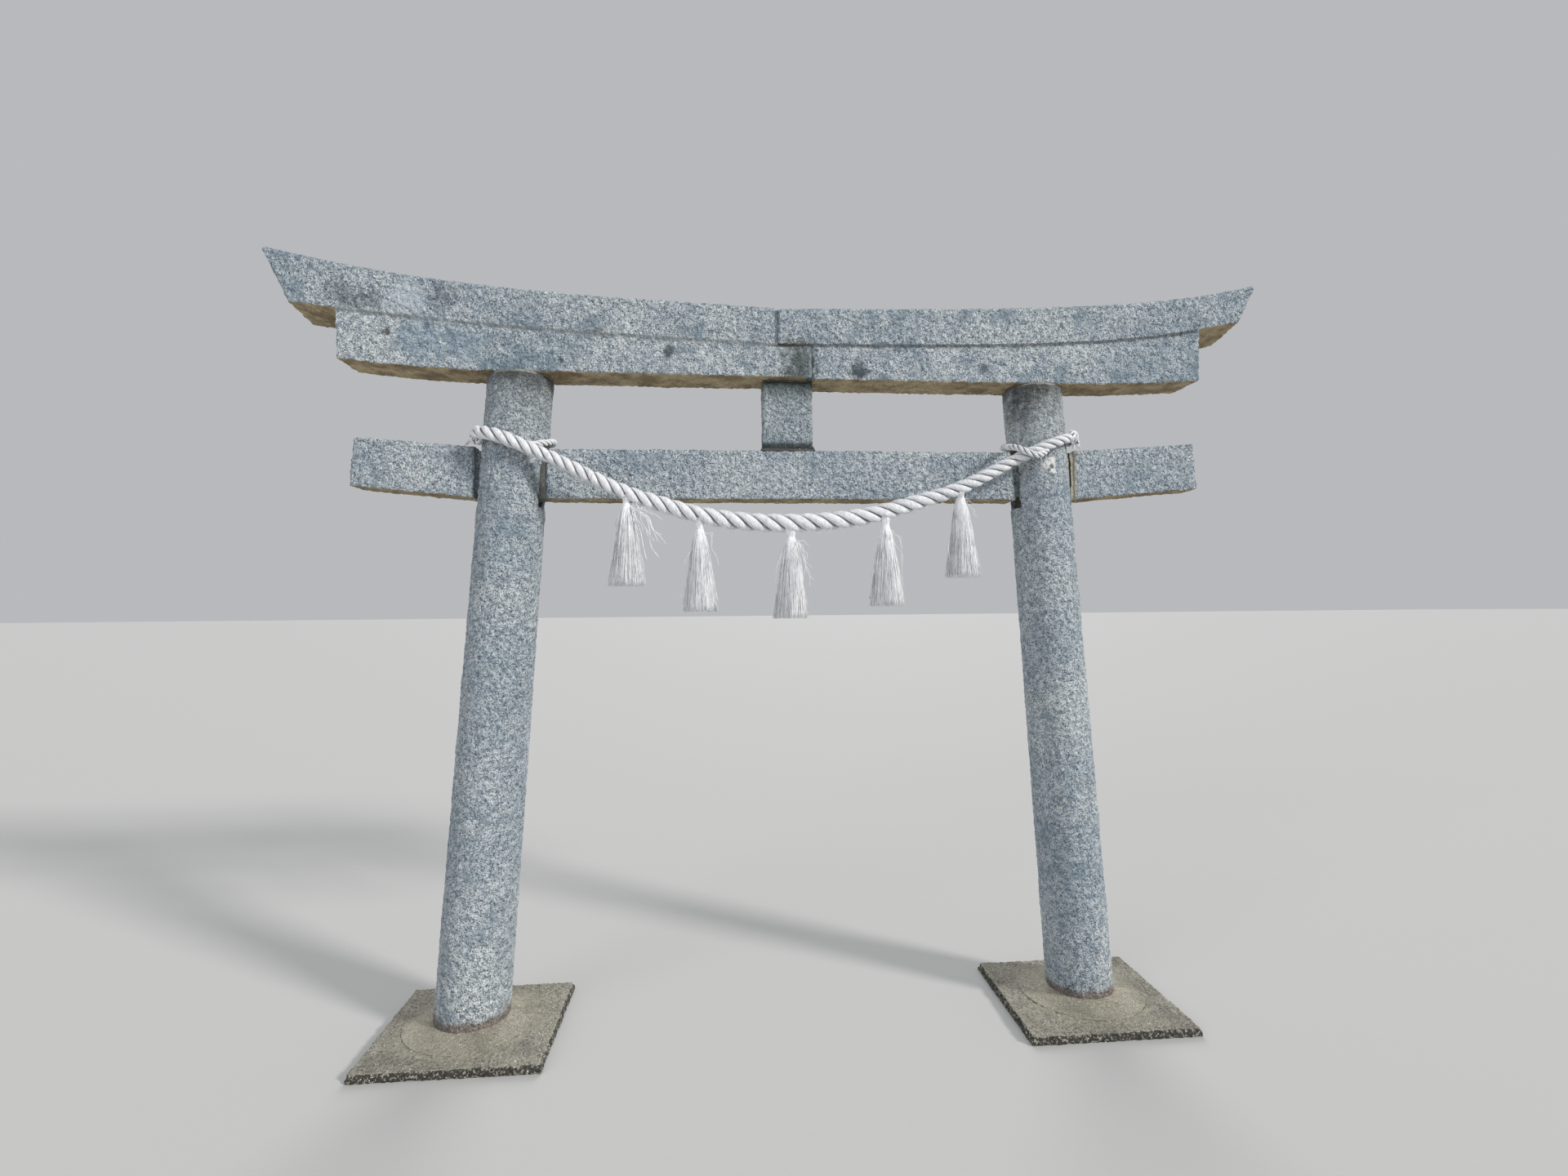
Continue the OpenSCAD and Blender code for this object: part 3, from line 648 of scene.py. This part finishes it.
def make_gritty_cement():
    """Cement with stones showing in it, and dark grime in blotches."""
    s = effect("gritty_cement", {"Place": "Vector", "Cement": "Color", "Stone": "Color", "Stones per Metre": "Float",
                                 "Grime": "Float"}, {"Color": "Color", "Height": "Float"})
    place, scale = s.given["Place"], s.given["Stones per Metre"]
    pick = s.split(s.cells(place, scale, "Color"))
    edge = s.step(s.cells(place, scale, feature="DISTANCE_TO_EDGE"), 0.05, 0.22)
    shown = s.math("MULTIPLY", edge, s.step(pick[0], 0.35, 0.45))
    stone = s.mix(s.step(pick[1], 0.2, 0.9), s.given["Stone"], rgb(98, 96, 88))
    stone = s.mix(s.step(pick[2], 0.90, 0.93), stone, rgb(222, 218, 206))
    color = s.mix(shown, s.given["Cement"], stone)
    dirt = s.math("MULTIPLY", s.step(s.noise(place, 6, 6, 0.65), 0.44, 0.66), s.given["Grime"])
    s.put(s.result["Color"], s.mix(dirt, color, rgb(78, 76, 69)))
    s.put(s.result["Height"], s.math("ADD", shown, s.noise(place, 60, 4, 0.6)))
    return s


def make_combed_fibre():
    """Fine fibre lines. Lines is stretched so that the fibres run along its second axis."""
    s = effect("combed_fibre", {"Lines": "Vector", "Place": "Vector", "Light": "Color", "Shade": "Color"},
               {"Color": "Color", "Height": "Float"})
    lines = s.noise(s.given["Lines"], 1.0, 3, 0.65)
    color = s.mix(s.step(lines, 0.36, 0.60), s.given["Shade"], s.given["Light"])
    dust = s.step(s.noise(s.given["Place"], 20, 4, 0.6), 0.5, 0.75)
    s.put(s.result["Color"], s.mix(s.math("MULTIPLY", dust, 0.35), color, rgb(176, 180, 188), "MULTIPLY"))
    s.put(s.result["Height"], lines)
    return s


granite_grain = make_granite_grain()
weather = make_weather()
brown_underside = make_brown_underside()
rain_streaks = make_rain_streaks()
stain = make_stain()
upright_band = make_upright_band()
trowelled_area = make_trowelled_area()
gritty_cement = make_gritty_cement()
combed_fibre = make_combed_fibre()

# Kinds of dirt on the stones, and a painted blue of skylit shade
BLACK_MOULD = rgb(52, 50, 44)
MOSS = rgb(60, 70, 67)
SLATE = rgb(66, 80, 87)
DARK_BLUE = rgb(52, 66, 78)
# Painted shade: the blue of stone lit only by the sky
SKYLIT_SHADE_BLUE = rgb(128, 152, 170)
EARTH = rgb(112, 94, 70)
FOOT_BROWN = rgb(108, 76, 52)
FRESH_CHIP = rgb(246, 247, 245)
PALE_MORTAR = rgb(190, 184, 166)
PALE_BLUE = rgb(212, 222, 230)


def granite(name, slate_patches=0.35, lichen=0.3, streaks=(), stains=(), ledge_shade_and_dirt=False, smear=None):
    """Hammered granite. streaks are (clean, full, dirt, amount), stains are (centre, radius, dirt, amount), and
    smear is the x of the edge that has the joint's pale mortar on it."""
    s = Finish(name, 0.82)
    grain = s.use(granite_grain, Place=s.place)
    color = s.use(weather, Place=s.place, Color=grain["Color"], Damp=slate_patches, Lichen=lichen)["Color"]
    for clean, full, dirt, amount in streaks:
        color = s.use(rain_streaks, Place=s.place, Color=color, Dirt=dirt, Amount=amount, Clean=clean,
                      Full=full)["Color"]
    for centre, radius, dirt, amount in stains:
        color = s.use(stain, Place=s.place, Color=color, Centre=tuple(at(*centre)), Radius=radius, Dirt=dirt,
                      Amount=amount)["Color"]
    # Ochre bloom and painted warm bounce light on faces that look down.
    color = s.use(brown_underside, Place=s.place, Color=color, Facing=s.facing_z())["Color"]
    # Painted shade and dirt in a thin line under the ledge of the lintels.
    if ledge_shade_and_dirt:
        line, dirt = shade_and_dirt_under_ledge(s)
        color = s.mix(line, color, dirt)
    if smear is not None:
        band = s.use(upright_band, Place=s.place, Middle=float(at(smear, 0, 0)[0]), Half_Width=0.010)["Mask"]
        color = s.mix(s.math("MULTIPLY", band, 0.75), color, PALE_MORTAR)
    return s.finish(color, s.bump(grain["Height"], 1.0, 0.034))


LEDGE_HEIGHT = 2.6155 + PLINTH
RIGHT_LEDGE = (1.919, 0.020, 0.111, 4.0)  # reach from the middle, straight rise, curved rise and its power
LEFT_LEDGE = (1.869, 0.078, 0.053, 3.0)


def shade_and_dirt_under_ledge(s):
    """A thin line of painted shade and dirt under the step where the upper half of a lintel stone stands out over the
    lower half.
    """
    x, _, z = s.split(s.place)

    def share(a, b, reach):
        return s.math("MAXIMUM", s.math("DIVIDE", s.math("SUBTRACT", a, b), reach), 0.0)

    def lift(t, _, straight, curved, power):
        return s.math("ADD", s.math("MULTIPLY", t, straight),
                      s.math("MULTIPLY", s.math("POWER", t, power), curved))

    right, left = share(x, MID_X, RIGHT_LEDGE[0]), share(MID_X, x, LEFT_LEDGE[0])
    rise = s.math("ADD", lift(right, *RIGHT_LEDGE), lift(left, *LEFT_LEDGE))
    below = s.math("SUBTRACT", s.math("ADD", rise, LEDGE_HEIGHT), z)
    line = s.math("MULTIPLY", s.step(below, -0.009, -0.004),
                  s.step(s.math("ADD", below, s.ragged(s.place, 30, 0.02)), 0.010, 0.002))
    line = s.math("MULTIPLY", line, s.math("MULTIPLY", s.step(left, 0.905, 0.900), s.step(right, 0.906, 0.901)))
    # The line's painted shade is darker on the right stone and lighter on the left.
    dirt = s.mix(s.step(left, 0.0, 0.03), rgb(92, 97, 98), rgb(144, 150, 152))
    return s.math("MULTIPLY", line, 0.75), dirt


def mortar(name, cement, grime, crack=None):
    """Fine grey mortar. crack is the x of a dark upright crack, in the gate's own millimetres."""
    s = Finish(name, 0.92)
    grit = s.use(gritty_cement, Place=s.place, Cement=cement, Stone=rgb(120, 120, 114), Stones_per_Metre=330,
                 Grime=grime)
    color = grit["Color"]
    if crack is not None:
        band = s.use(upright_band, Place=s.place, Middle=float(at(crack, 0, 0)[0]), Half_Width=0.0055)["Mask"]
        color = s.mix(band, color, rgb(34, 32, 28))
    return s.finish(color, s.bump(grit["Height"], 0.7, 0.003))


def concrete(name, edges=True):
    """Worn concrete with its stones showing, trowelled smooth round the pillars, and with painted shade on faces that
    don't look up when edges is set.
    """
    s = Finish(name, 0.88)
    coarse = s.use(gritty_cement, Place=s.place, Cement=rgb(150, 146, 133), Stone=rgb(206, 203, 191),
                   Stones_per_Metre=165, Grime=0.4)
    fine = s.use(gritty_cement, Place=s.place, Cement=rgb(164, 159, 143), Stone=rgb(182, 177, 161),
                 Stones_per_Metre=260, Grime=0.35)
    smooth = s.use(trowelled_area, Place=s.place)["Mask"]
    color = s.mix(smooth, coarse["Color"], fine["Color"])
    if edges:
        # Painted shade: near-black on faces that don't look up, such as the plinths' sides, broken up by fine noise.
        bits = s.step(s.noise(s.place, 95, 3, 0.6), 0.60, 0.52)
        dark = s.math("MULTIPLY", s.math("MULTIPLY", s.step(s.facing_z(), 0.88, 0.5), 0.92), bits)
        color = s.mix(dark, color, rgb(44, 43, 40))
    height = s.math("MULTIPLY", coarse["Height"], s.math("SUBTRACT", 1.0, s.math("MULTIPLY", smooth, 0.6)))
    return s.finish(color, s.bump(height, 0.9, 0.006))


def laid_straw(name):
    """Rope strands. u runs round a strand from the rope's middle, so the shade sits in the grooves."""
    s = Finish(name, 0.75, 0.2)
    u, v, _ = s.split(s.tree.nodes.new("ShaderNodeTexCoord").outputs["UV"])
    slant = s.math("SUBTRACT", s.math("MULTIPLY", u, 40.0), s.math("MULTIPLY", v, 190.0))
    lines = s.add("CombineXYZ", {0: slant, 1: s.math("MULTIPLY", v, 60.0)}).outputs[0]
    straw = s.use(combed_fibre, Lines=lines, Place=s.place, Light=rgb(242, 242, 242), Shade=rgb(190, 193, 199))
    outward = s.math("ABSOLUTE", s.math("SUBTRACT", u, 0.5))
    color = s.mix(s.math("MULTIPLY", s.step(outward, 0.17, 0.27), 0.9), straw["Color"], rgb(98, 104, 116))
    return s.finish(color, s.bump(straw["Height"], 0.8, 0.0015))


def tassel_straw(name):
    s = Finish(name, 0.7, 0.2)
    straw = s.use(combed_fibre, Lines=s.stretched(s.place, (420, 420, 9)), Place=s.place,
                  Light=rgb(252, 252, 252), Shade=rgb(218, 219, 224))
    locks = s.noise(s.stretched(s.place, (110, 110, 4)), 1.0, 2, 0.6)
    color = s.mix(s.math("MULTIPLY", s.step(locks, 0.5, 0.7), 0.45), straw["Color"], rgb(186, 187, 193), "MULTIPLY")
    return s.finish(color, s.bump(straw["Height"], 0.6, 0.001))


def wear(mat, *objects):
    for obj in objects:
        obj.data.materials.clear()
        obj.data.materials.append(mat)


wear(granite("granite_lintels", slate_patches=0.55, stains=[
    ((313, -95, 2518), 0.042, SLATE, 0.95), ((827, -95, 2534), 0.024, SLATE, 0.8),
    ((-445, -95, 2584), 0.028, SLATE, 0.85), ((-859, -95, 2544), 0.018, SLATE, 0.9),
    ((-1511, -95, 2643), 0.020, BLACK_MOULD, 0.85), ((-1424, -95, 2655), 0.017, BLACK_MOULD, 0.85),
    ((-1366, -95, 2668), 0.015, BLACK_MOULD, 0.85), ((-1398, -95, 2668), 0.026, rgb(214, 220, 222), 0.85),
    ((-1688, -100, 2796), 0.055, DARK_BLUE, 0.42), ((-1650, -100, 2765), 0.040, DARK_BLUE, 0.35),
    ((-1575, -100, 2758), 0.055, DARK_BLUE, 0.42), ((-1305, -100, 2776), 0.060, DARK_BLUE, 0.4),
    ((-716, -100, 2662), 0.020, DARK_BLUE, 0.6), ((-1430, -100, 2772), 0.075, PALE_BLUE, 0.5),
    # Painted skylit shade: blue patches on the lower half of the left stone
    ((-1380, -95, 2625), 0.11, SKYLIT_SHADE_BLUE, 0.45), ((-1240, -95, 2600), 0.09, SKYLIT_SHADE_BLUE, 0.4),
    ((70, -95, 2590), 0.080, MOSS, 0.55), ((80, -95, 2520), 0.080, MOSS, 0.62), ((30, -95, 2480), 0.060, MOSS, 0.4),
    ((-800, -60, 2490), 0.030, rgb(70, 48, 32), 0.8)], ledge_shade_and_dirt=True),
    nodes["left_lintel"], nodes["right_lintel"])
wear(granite("granite_pillars", lichen=0.35, streaks=[
    (2.05, 2.45, rgb(148, 141, 128), 0.2), (2.30, 2.60, BLACK_MOULD, 0.9), (0.13, 0.05, EARTH, 0.5),
    (0.090, 0.070, FOOT_BROWN, 0.45)], stains=[
    ((1000, -80, 2450), 0.075, BLACK_MOULD, 0.6), ((985, -50, 2360), 0.070, BLACK_MOULD, 0.5),
    ((1060, -110, 2480), 0.040, BLACK_MOULD, 0.7), ((-1030, -110, 2480), 0.045, BLACK_MOULD, 0.5),
    ((1082, -120, 2134), 0.034, FRESH_CHIP, 1.0), ((1087, -120, 2133), 0.011, SLATE, 0.8),
    ((1094, -120, 2160), 0.017, FRESH_CHIP, 1.0), ((1074, -120, 2118), 0.010, SLATE, 0.8)]),
    nodes["left_pillar"], nodes["right_pillar"])
wear(granite("granite_tie_beam", smear=1212),
     nodes["tie_beam"], nodes["tie_beam_left_end"], nodes["tie_beam_right_end"])
wear(granite("granite_strut", slate_patches=0.25, streaks=[
    (3.00, 2.60, rgb(70, 92, 92), 0.2), (2.37, 2.53, MOSS, 0.9), (2.282, 2.252, rgb(42, 50, 50), 0.88)]),
    nodes["strut"])
wear(mortar("dark_mortar", rgb(76, 80, 78), 0.7), *(nodes[n] for n in (
    "left_mortise_bed", "right_mortise_bed", "strut_foot_mortar", "strut_head_mortar")))
wear(mortar("joint_mortar", rgb(146, 160, 166), 0.6), nodes["lintel_joint_mortar"])
wear(mortar("grey_mortar", rgb(116, 120, 114), 0.6), nodes["left_mortise_pointing"])
wear(mortar("pale_mortar", rgb(176, 172, 160), 0.5), nodes["left_head_mortar"], nodes["right_head_mortar"])
wear(mortar("cracked_mortar", PALE_MORTAR, 0.4, crack=1193), nodes["right_mortise_pointing"])
wear(concrete("trowelled_mortar", edges=False), nodes["left_foot_mortar"], nodes["right_foot_mortar"])
wear(concrete("exposed_aggregate"), nodes["left_plinth"], nodes["right_plinth"])
wear(laid_straw("laid_straw"), rope, left_wrap, right_wrap, left_knot, right_knot)
wear(tassel_straw("tassel_straw"), left_tail, right_tail, rope_fuzz, *ties, *tassels)


# Hammered surfaces: an even skin over each stone, pushed in and out by a few millimetres

def cloud(name, size, depth, basis):
    tex = bpy.data.textures.new(name, "CLOUDS")
    tex.noise_scale = size
    tex.noise_depth = depth
    tex.noise_basis = basis
    return tex


hammer = cloud("hammer", 0.016, 1, "IMPROVED_PERLIN")
uneven = cloud("uneven", 0.12, 2, "BLENDER_ORIGINAL")


def roughen(obj, voxel, fine, slow):
    """Skin a stone evenly with a remesh of size voxel, then push its faces about by fine dents and slow swells."""
    remesh = obj.modifiers.new("skin", "REMESH")
    remesh.mode = "VOXEL"
    remesh.voxel_size = voxel
    remesh.use_smooth_shade = True
    for name, tex, amount in (("hammer", hammer, fine), ("uneven", uneven, slow)):
        mod = obj.modifiers.new(name, "DISPLACE")
        mod.texture = tex
        mod.texture_coords = "LOCAL"
        mod.strength = amount
        mod.mid_level = 0.5


for name in ("left_pillar", "right_pillar", "tie_beam", "tie_beam_left_end", "tie_beam_right_end", "strut"):
    roughen(nodes[name], 0.008, 0.012, 0.005)
for name in ("left_lintel", "right_lintel"):
    roughen(nodes[name], 0.0065, 0.012, 0.005)
for name in ("left_plinth", "right_plinth"):
    roughen(nodes[name], 0.006, 0.014, 0.004)


# Floor and light

FAR = 300  # the floor's edges lie this far off, so that no view shows them


def make_stage():
    mesh = bpy.data.meshes.new("floor")
    mesh.from_pydata([(-FAR, -FAR, 0), (FAR, -FAR, 0), (FAR, FAR, 0), (-FAR, FAR, 0)], [], [(0, 1, 2, 3)])
    floor = bpy.data.objects.new("floor", mesh)
    scene.collection.objects.link(floor)
    plain = Finish("floor", 0.9)
    plain.put(plain.shader.inputs["Base Color"], (0.5, 0.5, 0.49))
    mesh.materials.append(plain.mat)

    world = bpy.data.worlds.new("world")
    world.use_nodes = True
    world.node_tree.nodes["Background"].inputs[0].default_value = (0.88, 0.90, 0.93, 1)
    world.node_tree.nodes["Background"].inputs[1].default_value = 0.54
    scene.world = world

    def lamp(name, place, strength, width, colour):
        """A far, even lamp that shines from place to the middle of the gate, width degrees wide."""
        light = bpy.data.lights.new(name, "SUN")
        light.energy = strength
        light.angle = math.radians(width)
        light.color = colour
        obj = bpy.data.objects.new(name, light)
        obj.location = place
        obj.rotation_euler = (Vector((0, 0, 1.5)) - Vector(place)).to_track_quat("-Z", "Y").to_euler()
        scene.collection.objects.link(obj)

    lamp("key", (6.6, -4.4, 5.4), 2.7, 9, (1.0, 0.98, 0.95))
    lamp("fill", (-5.0, -5.0, 3.5), 0.75, 35, (0.93, 0.96, 1.0))
    lamp("back", (1.0, 6.0, 5.0), 1.3, 35, (1, 1, 1))


make_stage()
scene.view_settings.view_transform = "Standard"
